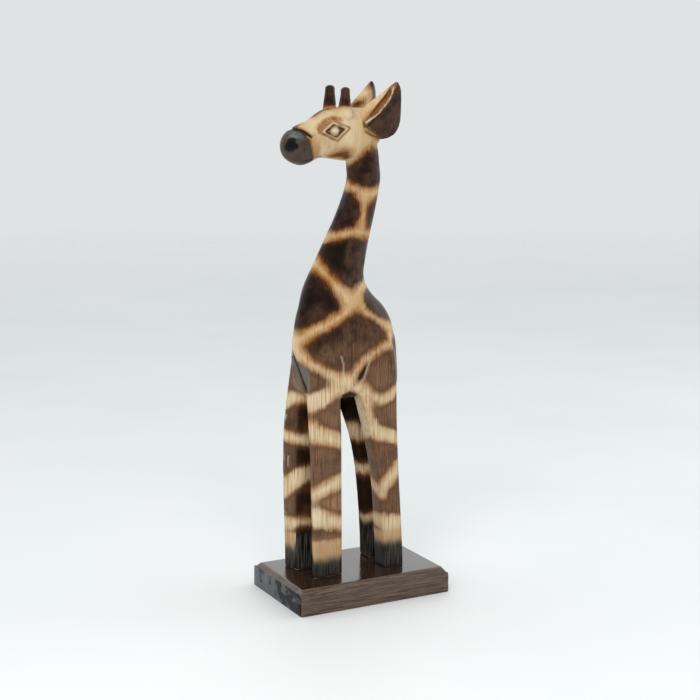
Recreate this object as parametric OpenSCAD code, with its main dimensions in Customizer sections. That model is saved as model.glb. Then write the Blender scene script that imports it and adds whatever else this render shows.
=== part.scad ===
// Carved wooden giraffe standing on a rectangular plinth.
// Millimetres. Origin at the middle of the plinth's underside, +Z up, the giraffe faces -X.

/* [Plinth] */
// Length along the body
plinth_l = 163; // [155:1:200]
// Width across the body
plinth_w = 112; // [100:1:140]
// Thickness
plinth_t = 24; // [20:1:32]
// Bevel run on the two long sides
bevel_side = 8.5; // [4:0.5:10]
// Bevel run on the two ends
bevel_end = 5; // [3:0.5:8]
// Bevel drop on every side
bevel_drop = 7.5; // [4:0.5:9]
// Rounding of the upright corners
corner_r = 3; // [2:0.5:6]

/* [Giraffe] */
// Sideways offset of the giraffe on the plinth
giraffe_y = 3; // [-4:0.5:4]
// Turn of the head towards the near side, in degrees
head_turn = 14; // [0:1:20]
// Ossicone length above the crown
ossicone_l = 21; // [14:1:24]
// Extra length of the far ossicone
ossicone_rise = 2; // [0:0.5:3]
// Ossicone radius at the tip
ossicone_tip_r = 3.9; // [3:0.1:4.6]
// Ear thickness
ear_t = 5; // [4:0.5:7]

/* [Fixing] */
// Screw shank diameter
screw_d = 4; // [3:0.5:5]
// Screw length under the head's top
screw_l = 40; // [36:1:45]
// Screw head diameter
head_d = 8; // [7:0.5:9]
// Clearance hole diameter in the plinth
clear_d = 4.6; // [4.4:0.2:5.6]
// Glue line thickness under each foot
glue_t = 0.3; // [0.2:0.1:0.5]

/* [Show] */
// Sub-part to draw

/* [Hidden] */
eps = 0.01;
deck_z = plinth_t;
foot_z = plinth_t + glue_t;
head_recess = 1;
cone_h = 3;
rim_h = 0.5;
shank_d = screw_d - 0.4;
cone_slope = (head_d - shank_d) / (cone_h - rim_h);
sink_d = head_d + cone_slope * (head_recess + rim_h) + 0.06;
sink_depth = (sink_d - clear_d) / cone_slope;
pilot_d = screw_d - 1;
pilot_l = screw_l - plinth_t + head_recess + 3;
thread_d = screw_d - 0.8;
wood = [0.80, 0.68, 0.50];
dark_wood = [0.32, 0.25, 0.21];
steel = [0.72, 0.73, 0.75];
glue = [0.86, 0.80, 0.62];

// Trunk and neck: height, middle, half length, half width, squareness.
TRUNK = [
    [198, -4, 43, 21, 3],
    [201, -3.5, 48, 24.2, 3.4],
    [206, -3.5, 50.5, 25.8, 3.6],
    [213, -4, 52, 26.3, 3.5],
    [224, -4.8, 53, 26.6, 3.1],
    [237, -5.3, 53.8, 26.7, 2.7],
    [250, -5.6, 53.8, 26.5, 2.35],
    [265, -6.5, 51.2, 25.8, 2.2],
    [275, -7.8, 48.5, 25, 2.1],
    [285, -9.8, 43.8, 24.2, 2],
    [295, -14, 37.2, 23.2, 2],
    [305, -15.9, 32.1, 22, 2],
    [315, -14.8, 28.4, 20.6, 2],
    [325, -11.5, 26.5, 19.4, 1.95],
    [340, -6.2, 24.2, 17.8, 1.9],
    [355, -0.7, 22.2, 16.6, 1.9],
    [370, 5.4, 20, 15.5, 1.9],
    [385, 10.8, 17.8, 15, 1.95],
    [400, 14.7, 16.7, 14.5, 2],
    [410, 15.6, 16.7, 14.7, 2],
    [420, 14.4, 16.5, 15, 2],
    [432, 13.7, 16, 15.2, 2],
    [446, 12, 14.5, 14, 2],
];

// Head along its own axis: place, middle height, half height, half width, squareness.
HEAD = [
    [-89.8, 438.8, 2.5, 2.5, 2],
    [-88.2, 438.8, 7.5, 7, 2],
    [-84.8, 439, 12.3, 11.5, 2],
    [-78, 439.3, 16.4, 14.8, 2],
    [-70, 440, 19, 17, 2],
    [-62, 442.3, 19.4, 17, 2],
    [-55, 445.2, 19.4, 16.2, 2.1],
    [-47, 448.3, 21, 16, 2.2],
    [-38, 449.7, 23, 17, 2.3],
    [-27, 449.6, 24.5, 18, 2.3],
    [-12, 448.6, 25, 18, 2.2],
    [4, 449.6, 24, 17, 2.1],
    [16, 452, 20, 14.5, 2],
    [24, 454, 14, 10.5, 2],
    [28.5, 455, 6, 4.5, 2],
];

// Legs: height, front outer, front inner, rear outer, rear inner, outer side, inner side,
// squareness.
FAR_FRONT = [
    [0, -60, -56, -32, -32, 27, 5, 7],
    [60, -60.5, -55, -31, -31, 27, 5, 7],
    [120, -62.3, -53, -30, -30, 27, 5, 6.5],
    [165, -61.3, -51, -28, -28, 27, 5, 6],
    [190, -59, -49.5, -25, -25, 27, 4.5, 5],
    [212, -56.5, -49, -22, -22, 26.5, 3, 4],
    [238, -53, -49, -20, -20, 25.5, 2, 3],
    [264, -45, -42, -20, -20, 20, 2, 2.6],
    [282, -38, -36, -22, -22, 13, 2, 2.6],
];
NEAR_FRONT = [
    [0, -53, -44, -20.5, -20.5, 27, 5, 7],
    [60, -53.5, -44.5, -20.5, -20.5, 27, 5, 7],
    [120, -54.8, -45.5, -20.5, -20.5, 27, 5, 6.5],
    [165, -56.5, -47, -20.5, -20.5, 27, 5, 6],
    [190, -58.2, -48.5, -21, -21, 27, 4.5, 5],
    [212, -57, -49, -20, -20, 26.8, 3, 4],
    [238, -53, -48, -19, -20, 26, 2, 3],
    [264, -44, -42, -20, -20, 20, 2, 2.6],
    [282, -38, -36, -22, -22, 13, 2, 2.6],
];
NEAR_HIND = [
    [0, 26, 25.5, 48.8, 49, 27, 6.5, 7],
    [60, 24, 22.5, 46, 47, 27, 6.5, 7],
    [115, 19.5, 18.5, 42.5, 45, 27, 6.5, 6.5],
    [148, 14, 12, 41, 44.5, 27, 6.5, 6],
    [175, 8.5, 5, 40, 45, 27, 6.3, 5.5],
    [200, 2, -1.5, 40, 46, 27, 5, 4.5],
    [220, 3, 0, 40, 47, 26.8, 4, 3.6],
    [242, 8, 5, 38, 44, 26, 3, 3],
    [266, 14, 11, 32, 36, 20, 2, 2.6],
    [282, 16, 14, 28, 30, 12, 2, 2.6],
];
FAR_HIND = [
    [0, 26, 25.5, 48.8, 49, 27, 6.5, 7],
    [60, 24, 22.5, 46, 47, 27, 6.5, 7],
    [115, 19, 18, 42.5, 45, 27, 6.5, 6.5],
    [148, 12.5, 11, 41, 44.5, 27, 6.5, 6],
    [175, 3.4, 1.5, 40, 45, 27, 6.3, 5.5],
    [200, -6, -8, 40, 46, 27, 5, 4.5],
    [220, -5, -7, 40, 47, 26.8, 4, 3.6],
    [242, 3, 0, 38, 44, 26, 3, 3],
    [266, 12, 9, 32, 36, 20, 2, 2.6],
    [282, 16, 14, 28, 30, 12, 2, 2.6],
];
// Screw places in the four feet, measured from the giraffe's middle line.
FEET = [[-45, 16], [-36, -16], [37, 16.5], [37, -16.5]];
LEGS = [[FAR_FRONT, 1], [NEAR_FRONT, -1], [FAR_HIND, 1], [NEAR_HIND, -1]];

function step_of(t, u, i = 0) = (i >= len(t) - 2 || u <= t[i + 1][0]) ? i : step_of(t, u, i + 1);
function rise(t, i, c) =
    let (a = max(i - 1, 0), b = min(i + 1, len(t) - 1))
    (t[b][c] - t[a][c]) / (t[b][0] - t[a][0]);
function blend(t, u, c) =
    let (i = step_of(t, u), h = t[i + 1][0] - t[i][0], s = (u - t[i][0]) / h)
    t[i][c] * (2 * s ^ 3 - 3 * s ^ 2 + 1) + rise(t, i, c) * h * (s ^ 3 - 2 * s ^ 2 + s)
    + t[i + 1][c] * (3 * s ^ 2 - 2 * s ^ 3) + rise(t, i + 1, c) * h * (s ^ 3 - s ^ 2);
function puff(v, p) = sign(v) * pow(abs(v), 2 / p);
function ends(t) = [t[0][0], t[len(t) - 1][0]];

// Skins closed rings of equal length into one solid.
module skin(rings) {
    n = len(rings[0]);
    m = len(rings);
    sides = [for (i = [0:m - 2], j = [0:n - 1])
        each [
            [i * n + j, i * n + (j + 1) % n, (i + 1) * n + (j + 1) % n],
            [i * n + j, (i + 1) * n + (j + 1) % n, (i + 1) * n + j],
        ]];
    bottom = [for (j = [n - 1:-1:0]) j];
    top = [for (j = [0:n - 1]) (m - 1) * n + j];
    polyhedron(points = [for (r = rings) each r], faces = concat(sides, [bottom, top]));
}

module trunk() {
    n = 36;
    lo = ends(TRUNK)[0];
    hi = ends(TRUNK)[1];
    skin([for (k = [0:42])
        let (z = lo + (hi - lo) * k / 42, p = blend(TRUNK, z, 4))
        [for (j = [0:n - 1])
            let (a = 360 * (n - j) / n)
            [
                blend(TRUNK, z, 1) + blend(TRUNK, z, 2) * puff(cos(a), p),
                blend(TRUNK, z, 3) * puff(sin(a), p),
                z,
            ]]]);
}

module skull() {
    n = 28;
    lo = ends(HEAD)[0];
    hi = ends(HEAD)[1];
    skin([for (k = [0:34])
        let (w = k / 34, x = lo + (hi - lo) * (w - 0.09 * sin(360 * w)), p = blend(HEAD, x, 4))
        [for (j = [0:n - 1])
            let (a = 360 * (n - j) / n)
            [
                x,
                blend(HEAD, x, 3) * puff(cos(a), p),
                blend(HEAD, x, 1) + blend(HEAD, x, 2) * puff(sin(a), p),
            ]]]);
}

function corner(t, z, u, v, side) =
    let (w = (1 + v) / 2, front = blend(t, z, 2) * (1 - w) + blend(t, z, 1) * w)
    let (rear = blend(t, z, 4) * (1 - w) + blend(t, z, 3) * w)
    [
        front * (1 - u) / 2 + rear * (1 + u) / 2,
        side * (blend(t, z, 6) * (1 - w) + blend(t, z, 5) * w),
        z,
    ];

module leg(t, side) {
    n = 20;
    lo = foot_z;
    hi = ends(t)[1];
    skin([for (k = [0:18])
        let (z = lo + (hi - lo) * k / 18, p = blend(t, z, 7))
        [for (j = [0:n - 1])
            let (a = 360 * (side < 0 ? j : n - j) / n + 9)
            corner(t, z, puff(cos(a), p), puff(sin(a), p), side)]]);
}

module ossicone(side) {
    top = 472 + ossicone_l + (side > 0 ? ossicone_rise : 0);
    hull() {
        translate([-25, side * 11, 467])
            scale([1, 1, 0.7])
                sphere(r = 8, $fn = 22);
        translate([-24.5, side * 11, 475])
            sphere(r = 5.8, $fn = 22);
    }
    hull() {
        translate([-24.5, side * 11, 475])
            sphere(r = 5.8, $fn = 22);
        translate([-24, side * 11, top - ossicone_tip_r])
            sphere(r = ossicone_tip_r, $fn = 22);
    }
}

// Leaf-shaped ear swept back and up: a broad outer lobe, and a front flap with a trough between.
module ear(side) {
    r = ear_t / 2;
    lift = side > 0 ? 1.05 : 0;
    lobe = [
        [-4, 17.3, 457.5], [13.5, 18.4, 470.6], [27.5, 18.4, 485], [38.2, 18, 488],
        [38.4, 18, 480], [38.4, 17.6, 469], [38, 17.2, 462], [36.9, 16.8, 457],
        [34.2, 16.4, 452.3], [31, 16, 449.4], [25.2, 15.6, 447.1], [19.3, 15.5, 446.1],
        [13.3, 15.6, 446.4], [7.4, 16, 448.1],
    ];
    flap = [[-2, 11, 471.5], [14, 11, 479.8], [26, 11.5, 487.7], [33.5, 14, 492.8]];
    // Each trough place carries its own radius.
    trough = [
        [-2, 17.8, 461.5, 1], [6, 18, 468.4, 2.6], [14, 18, 475.4, 3.3],
        [21, 18.1, 481.8, 3.3], [27, 18.3, 488.4, 2.6], [31, 18.4, 493.6, 1.2],
    ];
    difference() {
        hull() {
            for (q = lobe)
                translate([q[0], side * q[1], q[2]]) sphere(r = r, $fn = 12);
            for (q = flap)
                translate([q[0], side * q[1], q[2]]) sphere(r = 1.6, $fn = 12);
            translate([35.4, side * 17.8, 498.2 + lift - 2]) sphere(r = 2, $fn = 14);
            translate([37.3, side * 18, 494.6 + lift - 2]) sphere(r = 2.3, $fn = 14);
        }
        for (k = [0:len(trough) - 2])
            hull()
                for (q = [trough[k], trough[k + 1]])
                    translate([q[0], side * q[1], q[2]]) sphere(r = q[3], $fn = 10);
    }
}

// Raised diamond of the eyelids with the eyeball and pupil in it.
module eye(side) {
    lids = [[-56.5, 14.4, 451.4], [-44.2, 14.9, 459.6], [-39.2, 15.2, 445.2], [-27.5, 16.3, 454.3]];
    for (k = [[0, 1], [1, 3], [3, 2], [2, 0]])
        hull()
            for (q = [lids[k[0]], lids[k[1]]])
                translate([q[0], side * q[1], q[2]]) sphere(r = 2.1, $fn = 12);
    translate([-41.5, side * 14, 452.3])
        scale([1.5, 0.5, 1])
            sphere(r = 6, $fn = 24);
    translate([-42, side * 16.4, 452.5])
        scale([1, 0.5, 1])
            sphere(r = 3.4, $fn = 20);
}

// Curved nostril slit and mouth line, cut as shallow grooves.
module face_cuts(side) {
    slit = [[-79.4, 2.8, 454.9], [-76, 7.6, 454.6], [-72.8, 12.5, 451.8], [-70.2, 15, 448.6]];
    lips = [[-72, 10.5, 425.3], [-63, 11.3, 427.4], [-52.8, 7.9, 428.5]];
    for (path = [slit, lips], k = [0:len(path) - 2])
        hull()
            for (q = [path[k], path[k + 1]])
                translate([q[0], side * q[1], q[2]]) sphere(r = 1.1, $fn = 10);
}

module head() {
    translate([8, 0, 0])
        rotate([0, 0, head_turn])
            difference() {
                union() {
                    skull();
                    for (side = [-1, 1]) {
                        ossicone(side);
                        ear(side);
                        eye(side);
                    }
                }
                for (side = [-1, 1])
                    face_cuts(side);
            }
}

module giraffe_carving() {
    color(wood)
        translate([0, giraffe_y, 0])
            difference() {
                union() {
                    trunk();
                    head();
                    for (l = LEGS)
                        leg(l[0], l[1]);
                }
                for (f = FEET)
                    translate([f[0], f[1], foot_z - 1])
                        cylinder(d = pilot_d, h = pilot_l + 1, $fn = 24);
            }
}

module bevel_cut(run, span, reach) {
    for (side = [-1, 1])
        translate([side * reach, 0, plinth_t])
            rotate([0, side * atan2(bevel_drop, run), 0])
                translate([-run, -span / 2 - 10, 0])
                    cube([4 * run, span + 20, bevel_drop * 3]);
}

module plinth() {
    color(dark_wood)
        difference() {
            union() {
                translate([-plinth_l / 2 + corner_r, -plinth_w / 2, 0])
                    cube([plinth_l - 2 * corner_r, plinth_w, plinth_t]);
                translate([-plinth_l / 2, -plinth_w / 2 + corner_r, 0])
                    cube([plinth_l, plinth_w - 2 * corner_r, plinth_t]);
                for (x = [-1, 1], y = [-1, 1])
                    translate([x * (plinth_l / 2 - corner_r), y * (plinth_w / 2 - corner_r), 0])
                        cylinder(r = corner_r, h = plinth_t);
            }
            bevel_cut(bevel_end, plinth_w, plinth_l / 2 - bevel_end);
            rotate([0, 0, 90])
                bevel_cut(bevel_side, plinth_l, plinth_w / 2 - bevel_side);
            for (f = FEET)
                translate([f[0], f[1] + giraffe_y, 0]) {
                    translate([0, 0, -1])
                        cylinder(d = clear_d, h = plinth_t + 2);
                    translate([0, 0, -1])
                        cylinder(
                            d1 = sink_d + cone_slope,
                            d2 = clear_d - cone_slope / 2,
                            h = sink_depth + 1.5
                        );
                }
        }
}

// Countersunk wood screw: flat head, plain shank, ridged thread and point.
module wood_screw() {
    rings = 9;
    pitch = 1.5;
    plain = plinth_t - 2;
    difference() {
        union() {
            cylinder(d = head_d, h = rim_h);
            translate([0, 0, rim_h])
                cylinder(d1 = head_d, d2 = shank_d, h = cone_h - rim_h);
            translate([0, 0, cone_h - eps])
                cylinder(d = shank_d, h = plain - cone_h + eps);
            translate([0, 0, plain - eps])
                cylinder(d = thread_d - 0.6, h = screw_l - plain - 3 + eps);
            for (k = [0:rings - 1])
                translate([0, 0, plain + 0.6 + k * pitch]) {
                    cylinder(d1 = thread_d - 0.6, d2 = thread_d - 0.3, h = pitch / 3);
                    translate([0, 0, pitch / 3])
                        cylinder(d1 = thread_d - 0.3, d2 = thread_d - 0.6, h = pitch / 3);
                }
            translate([0, 0, screw_l - 3])
                cylinder(d1 = thread_d - 0.6, d2 = 0.4, h = 3);
        }
        for (a = [0, 90])
            rotate([0, 0, a])
                translate([-2.2, -0.45, -1])
                    cube([4.4, 0.9, 2.8]);
    }
}

module foot_screws() {
    color(steel)
        for (f = FEET)
            translate([f[0], f[1] + giraffe_y, head_recess])
                wood_screw();
}

module foot_glue() {
    color(glue)
        for (l = LEGS) {
            f = l[0][0];
            side = l[1];
            difference() {
                translate([0, giraffe_y, deck_z])
                    linear_extrude(glue_t)
                        offset(delta = -1.2)
                            polygon([
                                [f[1], side * f[5]],
                                [f[2], side * f[6]],
                                [f[4], side * f[6]],
                                [f[3], side * f[5]],
                            ]);
                for (p = FEET)
                    translate([p[0], p[1] + giraffe_y, deck_z - 1])
                        cylinder(d = clear_d, h = 3);
            }
        }
}

giraffe_carving();
plinth();
foot_screws();
foot_glue();
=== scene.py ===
import math

import bpy
import numpy as np
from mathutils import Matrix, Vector
from mathutils.bvhtree import BVHTree


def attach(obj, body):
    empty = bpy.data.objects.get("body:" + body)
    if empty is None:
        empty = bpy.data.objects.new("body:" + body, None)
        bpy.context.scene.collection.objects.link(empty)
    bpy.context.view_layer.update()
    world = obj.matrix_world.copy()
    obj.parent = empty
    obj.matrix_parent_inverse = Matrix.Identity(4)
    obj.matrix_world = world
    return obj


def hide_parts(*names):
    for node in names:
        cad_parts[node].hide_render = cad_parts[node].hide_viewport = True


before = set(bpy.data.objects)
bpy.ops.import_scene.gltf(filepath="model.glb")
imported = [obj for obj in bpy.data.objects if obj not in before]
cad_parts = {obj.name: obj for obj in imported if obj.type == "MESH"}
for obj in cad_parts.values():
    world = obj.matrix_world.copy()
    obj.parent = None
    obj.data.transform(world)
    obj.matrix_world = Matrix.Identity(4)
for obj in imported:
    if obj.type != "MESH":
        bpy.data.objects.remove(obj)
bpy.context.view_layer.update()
mm = 0.001
print("frame loaded")


# small helpers used by every piece

def deselectAll():
    if bpy.context.object and bpy.context.object.mode != "OBJECT":
        bpy.ops.object.mode_set(mode="OBJECT")
    bpy.ops.object.select_all(action="DESELECT")


def makeActive(piece):
    deselectAll()
    piece.select_set(True)
    bpy.context.view_layer.objects.active = piece


def copyOfNode(node, name):
    # own mesh, loose triangles welded, at the origin
    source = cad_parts[node]
    piece = bpy.data.objects.new(name, source.data.copy())
    bpy.context.scene.collection.objects.link(piece)
    makeActive(piece)
    bpy.ops.object.mode_set(mode="EDIT")
    bpy.ops.mesh.select_all(action="SELECT")
    bpy.ops.mesh.remove_doubles(threshold=0.00001)
    bpy.ops.mesh.normals_make_consistent(inside=False)
    bpy.ops.object.mode_set(mode="OBJECT")
    piece.data.materials.clear()
    return piece


def applyModifier(piece, kind, **settings):
    makeActive(piece)
    modifier = piece.modifiers.new(kind.lower(), kind)
    for key, value in settings.items():
        setattr(modifier, key, value)
    bpy.ops.object.modifier_apply(modifier=modifier.name)


def places(piece):
    flat = np.zeros(len(piece.data.vertices) * 3)
    piece.data.vertices.foreach_get("co", flat)
    return flat.reshape(-1, 3)


def setPlaces(piece, spots):
    piece.data.vertices.foreach_set("co", spots.ravel())
    piece.data.update()


def outward(piece):
    flat = np.zeros(len(piece.data.vertices) * 3)
    piece.data.vertices.foreach_get("normal", flat)
    return flat.reshape(-1, 3)


def paint(piece, name, values):
    layer = piece.data.attributes.get(name)
    if layer is None:
        layer = piece.data.attributes.new(name, "FLOAT", "POINT")
    layer.data.foreach_set("value", values.astype(np.float32))


def step(values, low, high):
    t = np.clip((values - low) / (high - low), 0, 1)
    return t * t * (3 - 2 * t)


# the giraffe, carved from one block

carving = {
    "meshSize": 1.45,                   # mm between points
    "softening": 26,                    # rounds of sanding all over
    "thinRounds": 5,                    # rounds on the thin ears and horns
    "smoothRounds": 60,                 # more rounds above the legs and round the eyes
    "middleY": 3.0,                     # the carving's own middle plane
    "headTurn": 14.0,                   # degrees towards the near side
    "headPivotX": 8.0,
    "boardTop": 24.4,                   # mm, where the feet start
    "hornAxis": (-24.3, 11),            # along and across the head
    "hornReach": 8,
    "hornTops": {-1: 493, 1: 495},
    "hornSwell": {-1: 0.04, 1: 0.13},
    "hornTipSwell": 0.2,
    "cornerReach": 13,                  # mm each side of the flank's soft corner
    "cornerRise": 2.2,
    "fineReach": {"eye": 22, "nostril": 13},
    "deepBurn": 14.0,                   # mm from a pale band where the burn no longer changes
    "bandSoftness": 2.6,                # mm, rounds the corners where bands meet
}


def sand(piece, rounds, weight=1.0):
    # rounds the surface over without thinning it: a push in, then a slightly larger push out
    edges = np.zeros(len(piece.data.edges) * 2, dtype=np.int64)
    piece.data.edges.foreach_get("vertices", edges)
    first, second = edges.reshape(-1, 2).T
    spots = places(piece)
    count = np.bincount(first, minlength=len(spots)) + np.bincount(second, minlength=len(spots))
    count = np.maximum(count, 1)
    for turn in range(rounds * 2):
        total = np.zeros_like(spots)
        for axis in range(3):
            total[:, axis] = np.bincount(first, spots[second, axis], len(spots))
            total[:, axis] += np.bincount(second, spots[first, axis], len(spots))
        push = 0.5 if turn % 2 == 0 else -0.52
        share = push * (weight if np.isscalar(weight) else weight[:, None])
        spots = spots + share * (total / count[:, None] - spots)
    setPlaces(piece, spots)


def sinkOnto(tree, line, spacing):
    # a given line in mm, filled in and laid on the wood's surface
    laid = []
    for a, b in zip(line[:-1], line[1:]):
        length = math.dist(a[:3], b[:3])
        parts = max(1, int(length / spacing))
        for part in range(parts):
            t = part / parts
            laid.append([a[i] * (1 - t) + b[i] * t for i in range(len(a))])
    laid.append(list(line[-1]))
    for spot in laid:
        hit = tree.find_nearest(Vector(spot[:3]) * mm)[0]
        spot[:3] = [c / mm for c in hit]
    return np.array(laid)


def distanceTo(spots, laid):
    # for every point: distance to the laid line and the line's own width there
    best = np.full(len(spots), 1e6)
    width = np.zeros(len(spots))
    for a, b in zip(laid[:-1], laid[1:]):
        along = b[:3] - a[:3]
        t = np.clip((spots - a[:3]) @ along / max(along @ along, 1e-9), 0, 1)
        gap = np.linalg.norm(spots - a[:3] - t[:, None] * along, axis=1)
        closer = gap < best
        best[closer] = gap[closer]
        width[closer] = (a[3] * (1 - t) + b[3] * t)[closer]
    return best, width


def nearLine(spots, laid, reach):
    low = laid[:, :3].min(0) - reach
    high = laid[:, :3].max(0) + reach
    return np.where(((spots > low) & (spots < high)).all(1))[0]


def headSpot(x, y, z):
    # a place given along the head's own axis, turned to where the head points
    turn = math.radians(carving["headTurn"])
    c, s = math.cos(turn), math.sin(turn)
    return (carving["headPivotX"] + x * c - y * s, carving["middleY"] + x * s + y * c, z)


def alongHead(spots):
    turn = math.radians(carving["headTurn"])
    c, s = math.cos(turn), math.sin(turn)
    x = spots[:, 0] - carving["headPivotX"]
    y = spots[:, 1] - carving["middleY"]
    return x * c + y * s, -x * s + y * c, spots[:, 2]


giraffe = copyOfNode("giraffe_carving", "carved_giraffe")
applyModifier(giraffe, "REMESH", mode="VOXEL", voxel_size=carving["meshSize"] * mm, adaptivity=0)
print("giraffe remeshed:", len(giraffe.data.polygons), "faces")

spots = places(giraffe) / mm
alongX, acrossY, upZ = alongHead(spots)
legTop = step(spots[:, 2], 207, 218) * (1 - step(spots[:, 2], 300, 330))
eyeGap = np.hypot(alongX + 40, (upZ - 452) * 1.3)
eyeArea = (1 - step(eyeGap, 13, 22)) * (np.abs(acrossY) > 8)
foot = 1 - step(spots[:, 2], carving["boardTop"], carving["boardTop"] + 3.6)
earArea = step(alongX, 0, 6) * step(np.abs(acrossY), 11, 14) * step(upZ, 438, 446)
thin = np.maximum(earArea, step(upZ, 472, 476))
thick = (1 - foot) * (1 - thin)
sand(giraffe, carving["softening"], 0.55 * thick)
sand(giraffe, carving["thinRounds"], 0.5 * thin)
sand(giraffe, carving["smoothRounds"], np.maximum(legTop * 0.9, eyeArea) * thick)

# the horns are blunt: swell their tips outward from their own axes
hornX, hornY = carving["hornAxis"]
turn = math.radians(carving["headTurn"])
for side, swell in carving["hornSwell"].items():
    x, y, z = alongHead(places(giraffe) / mm)
    tip = carving["hornTops"][side]
    outX, outY = x - hornX, y - side * hornY
    share = (np.hypot(outX, outY) < carving["hornReach"]) * step(z, 472, 480)
    share = share * (swell + carving["hornTipSwell"] * step(z, tip - 7, tip - 1))
    shift = np.zeros((len(x), 3))
    shift[:, 0] = share * (outX * math.cos(turn) - outY * math.sin(turn))
    shift[:, 1] = share * (outX * math.sin(turn) + outY * math.cos(turn))
    setPlaces(giraffe, places(giraffe) + shift * mm)
print("giraffe sanded")

# details cut with small tools, in mm; a depth below 0 raises

eyeLids = [(-56.5, 15, 451.4), (-44.2, 15, 459.6), (-27.5, 16, 454.3), (-39.2, 15, 445.2), (-56.5, 15, 451.4)]


def shrinkLine(line, share, centre=(-41.5, 15, 452.3)):
    return [tuple(centre[i] + (p[i] - centre[i]) * share for i in range(3)) for p in line]


def mirrored(line):
    # the same line on the other side of the carving
    return [(x, 2 * carving["middleY"] - y, z) for x, y, z in line]


browLine = [(-58, 13.5, 454), (-54, 12.2, 458.9), (-49, 12.2, 461.6), (-42, 13, 464), (-34.6, 15.3, 462.4)]
nostrilLine = [(-79.6, 2.8, 455), (-76, 7.6, 454.8), (-72.8, 12.5, 451.9), (-69.5, 15.3, 448)]
earRim = [
    (-4.8, 18.8, 459.9), (-0.6, 19.6, 462.6), (5.3, 20, 466.4), (14.6, 19.5, 472.4),
    (20, 19.5, 477), (24, 19.5, 481.7), (28, 19, 488.3), (30.5, 18.5, 492.1),
]
earHollow = [(-2, 18, 461.8), (6, 16.5, 469), (14.5, 16, 476), (22, 16, 482.4), (28.2, 16.5, 489.8)]
earScorch = [
    (-3, 18, 461.5), (6, 16.5, 468.6), (14.5, 16, 475.6), (22, 16, 482), (28.2, 16.5, 489.5), (31, 18, 494),
]
headCuts = [
    # name, line along the head, half width, depth
    ("lid", eyeLids, 2.0, -1.5),
    ("lidOutside", shrinkLine(eyeLids, 1.22), 1.4, 0.9),
    ("lidInside", shrinkLine(eyeLids, 0.68), 1.9, 1.8),
    ("eyeball", shrinkLine(eyeLids, 0.3), 3.4, 0.8),
    ("pupil", [(-42.2, 15, 452.6), (-41.4, 15, 452.6)], 5.4, -2.2),
    ("nostril", nostrilLine, 2.3, 1.9),
    ("nostrilShade", [(-80.5, 4.5, 453.6), (-77, 9, 452.6), (-73.8, 13.2, 450)], 2.6, 0.0),
    ("mouth", [(-72, 10.5, 425), (-65, 11.6, 427.2), (-59.9, 10.5, 427.9), (-51, 7.9, 428.6)], 1.3, 1.2),
    ("browGroove", browLine, 3.0, 1.0),
    ("earTrough", earHollow, 3.6, 0.2),
    ("earRim", earRim, 1.2, -0.3),
    ("earShadow", [(-2.6, 19, 456.5), (2.8, 20, 461.5), (9.9, 20.6, 468.2), (15, 20.6, 473.4)], 1.6, 0.7),
    ("earFold", [(-5, 17.5, 451.4), (3.9, 17.4, 447.4), (12.7, 17.6, 445)], 0.9, 1.0),
    ("earFoldTop", [(-5.6, 18, 456.1), (1, 19.2, 453.4), (9.4, 18.4, 448.6)], 0.8, 0.7),
]
toasted = [
    # scorched shading drawn with a light hand: line, half width, strength
    (browLine, 3.8, 0.95),
    ([(-56, 14, 457), (-51.5, 14, 460)], 3.4, 0.95),
    (shrinkLine(eyeLids, 1.22), 2.0, 0.7),
    (shrinkLine(eyeLids, 0.72), 2.4, 0.5),
    ([(-67, 15, 446), (-63, 16, 438), (-60, 16, 430)], 6.0, 0.5),
    ([(-56, 15, 444), (-48, 15, 440), (-42, 15, 440)], 5.0, 0.35),
    (earScorch, 3.9, 1.0),
    ([(-24, 11, 474), (-24, 11, 469)], 8.0, 0.7),
    ([(-40, 15, 428), (-22, 15, 428)], 9.0, 0.4),
]
bodyCuts = [
    ("thighCrease", [(11, -23, 238), (6, -23, 225), (3, -23, 216), (-4, -23, 210), (-9, -23, 207)], 1.9, 1.6),
    ("legCrease", [(-22, -23, 240), (-20, -23, 233), (-20, -23, 221), (-19, -23, 209)], 1.5, 1.2),
    ("chestSlot", [(-59, 8, 242), (-59, 1, 232), (-57, -5, 222), (-55, -8, 214), (-53, -10, 206)], 2.6, 1.8),
]
# the long soft corner that the knife leaves where the front of the neck and flank meets the side
flankCorner = [
    (12, -12, 420), (6, -10, 400), (0, -9, 385), (-10, -13, 349),
    (-20, -18, 313), (-21, -22, 265), (-20, -23, 242),
]
nicks = [
    # line down the far front leg, half width, depth
    ([(-60, 28, 180), (-60, 27, 174)], 0.9, 0.7),
    ([(-60, 25, 178), (-60, 26, 171)], 0.8, 0.6),
    ([(-60, 28, 139), (-60, 26, 133)], 1.1, 0.8),
    ([(-60, 29, 118), (-60, 27, 111)], 1.2, 0.9),
    ([(-60, 20, 137), (-60, 21, 127)], 0.8, 0.6),
    ([(-60, 19, 118), (-60, 15, 120.5)], 0.9, 0.7),
    ([(-60, 29, 80), (-60, 24, 79.5)], 0.8, 0.6),
]


def treeOf(piece):
    return BVHTree.FromPolygons(
        [v.co for v in piece.data.vertices],
        [p.vertices for p in piece.data.polygons],
    )


def refineNear(piece, centres, reach):
    # finer mesh only where small details are cut
    makeActive(piece)
    bpy.ops.object.mode_set(mode="EDIT")
    bpy.ops.mesh.select_mode(type="FACE")
    bpy.ops.mesh.select_all(action="DESELECT")
    bpy.ops.object.mode_set(mode="OBJECT")
    for face in piece.data.polygons:
        face.select = any((face.center / mm - Vector(c)).length < reach for c in centres)
    bpy.ops.object.mode_set(mode="EDIT")
    bpy.ops.mesh.subdivide(number_cuts=1, smoothness=0)
    bpy.ops.object.mode_set(mode="OBJECT")


refineNear(giraffe, [headSpot(-41, y, 452) for y in (15, -15)], carving["fineReach"]["eye"])
refineNear(giraffe, [headSpot(-74, y, 450) for y in (13, -13)], carving["fineReach"]["nostril"])

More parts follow.
